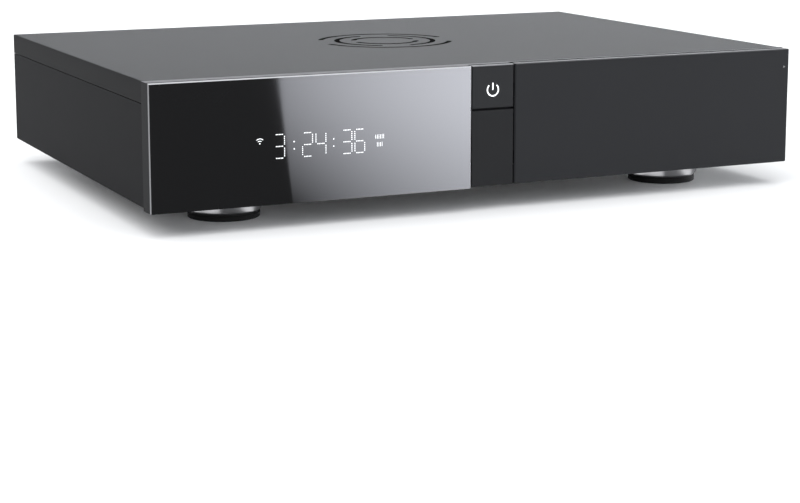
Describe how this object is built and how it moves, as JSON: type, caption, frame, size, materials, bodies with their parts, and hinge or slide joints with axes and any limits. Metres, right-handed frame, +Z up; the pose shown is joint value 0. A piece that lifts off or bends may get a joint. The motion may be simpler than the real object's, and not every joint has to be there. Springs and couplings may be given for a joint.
{
  "type": "media player",
  "caption": "Flat metal media player on round feet, with a dark glass display front, a power button and a hinged door over drive trays.",
  "frame": {"origin": "on the table, under the middle of the case's box", "axes": "+X to the right seen from the front, +Y towards the back, +Z up; the glass front faces -Y"},
  "size_m": [0.43, 0.302, 0.0881],
  "materials": {
    "lid_coat": "fine sand-textured dark grey",
    "case_coat": "fine sand-textured dark grey",
    "frame_anodised": "anodised dark grey",
    "door_anodised": "satin anodised dark grey",
    "front_glass": "black backed, polished edges",
    "display_black": "gloss black",
    "circuit_board": "green solder mask",
    "symbol_white": "translucent white",
    "black_plastic": "fine texture",
    "pin_steel": "ground",
    "magnet_nickel": "nickel plated",
    "sheet_steel": "zinc plated",
    "base_coat": "fine-textured black",
    "handle_metal": "satin anodised",
    "socket_steel": "plated",
    "blade_brass": "plated",
    "sink_aluminium": "black anodised",
    "chip_black": "moulded",
    "core_ferrite": "ferrite and tape",
    "can_sleeve": "shrink sleeve",
    "foot_metal": "turned and brushed",
    "foot_rubber": "matt",
    "screw_black": "black oxide",
    "screw_steel": "zinc plated"
  },
  "bodies": {
    "case": {"front_frame": "frame_anodised", "glass_panel": "front_glass", "display_module": "display_black", "display_board": "circuit_board", "column_panel": "door_anodised", "tact_switch": "black_plastic", "switch_board": "circuit_board", "hinge_lugs": "frame_anodised", "strike_plates": "sheet_steel", "base_plate": "base_coat", "side_panel_left": "case_coat", "side_panel_right": "case_coat", "rear_panel": "base_coat", "top_cover": "lid_coat", "rear_panel_screws": "screw_black", "cover_screws": "screw_black", "drive_cage_left": "sheet_steel", "drive_cage_right": "sheet_steel", "drive_cage_top": "sheet_steel", "tray_guides": "black_plastic", "sata_backplane": "circuit_board", "sata_sockets": "black_plastic", "main_board": "circuit_board", "power_board": "circuit_board", "standoffs": "blade_brass", "board_screws": "screw_steel", "board_chips": "chip_black", "heat_sink": "sink_aluminium", "hdmi_sockets": "socket_steel", "lan_socket": "socket_steel", "usb_sockets": "socket_steel", "optical_socket": "black_plastic", "audio_jacks": "black_plastic", "mains_inlet": "black_plastic", "mains_blades": "blade_brass", "transformer": "core_ferrite", "capacitors": "can_sleeve", "fan_frame": "black_plastic", "fan_screws": "screw_black", "foot_screws": "screw_steel", "foot_cup_front_left": "foot_metal", "foot_cup_front_right": "foot_metal", "foot_cup_rear_left": "foot_metal", "foot_cup_rear_right": "foot_metal", "foot_pad_front_left": "foot_rubber", "foot_pad_front_right": "foot_rubber", "foot_pad_rear_left": "foot_rubber", "foot_pad_rear_right": "foot_rubber"},
    "door": {"door": "door_anodised", "door_hinge_pins": "pin_steel", "door_magnets": "magnet_nickel"},
    "button": {"power_button": "door_anodised", "power_symbol": "symbol_white"},
    "upper_drive_tray": {"upper_tray": "black_plastic", "upper_tray_face": "black_plastic", "upper_tray_handle": "handle_metal"},
    "lower_drive_tray": {"lower_tray": "black_plastic", "lower_tray_face": "black_plastic", "lower_tray_handle": "handle_metal"},
    "rotor": {"fan_rotor": "black_plastic"}
  },
  "joints": [
    {"name": "door_hinge", "type": "hinge", "parent": "case", "child": "door", "pos_m": [0.0197, -0.1455, 0.0513], "axis": [0, 0, -1], "range_deg": [0, 90]},
    {"name": "upper_tray_slide", "type": "slide", "parent": "case", "child": "upper_drive_tray", "axis": [0, -1, 0], "range_m": [0, 0.15]},
    {"name": "lower_tray_slide", "type": "slide", "parent": "case", "child": "lower_drive_tray", "axis": [0, -1, 0], "range_m": [0, 0.15]},
    {"name": "button_press", "type": "slide", "parent": "case", "child": "button", "axis": [0, 1, 0], "range_m": [0, 0.0008], "stiffness_N_per_m": 400, "springref_m": -0.002},
    {"name": "rotor_spin", "type": "hinge", "parent": "case", "child": "rotor", "pos_m": [0.1481, 0.1375, 0.0473], "axis": [0, 1, 0], "continuous": true}
  ],
  "couplings": [
    {"joint": "upper_tray_slide", "follows": "door_hinge", "m_per_rad": 0.0954},
    {"joint": "lower_tray_slide", "follows": "door_hinge", "m_per_rad": 0.0954}
  ]
}
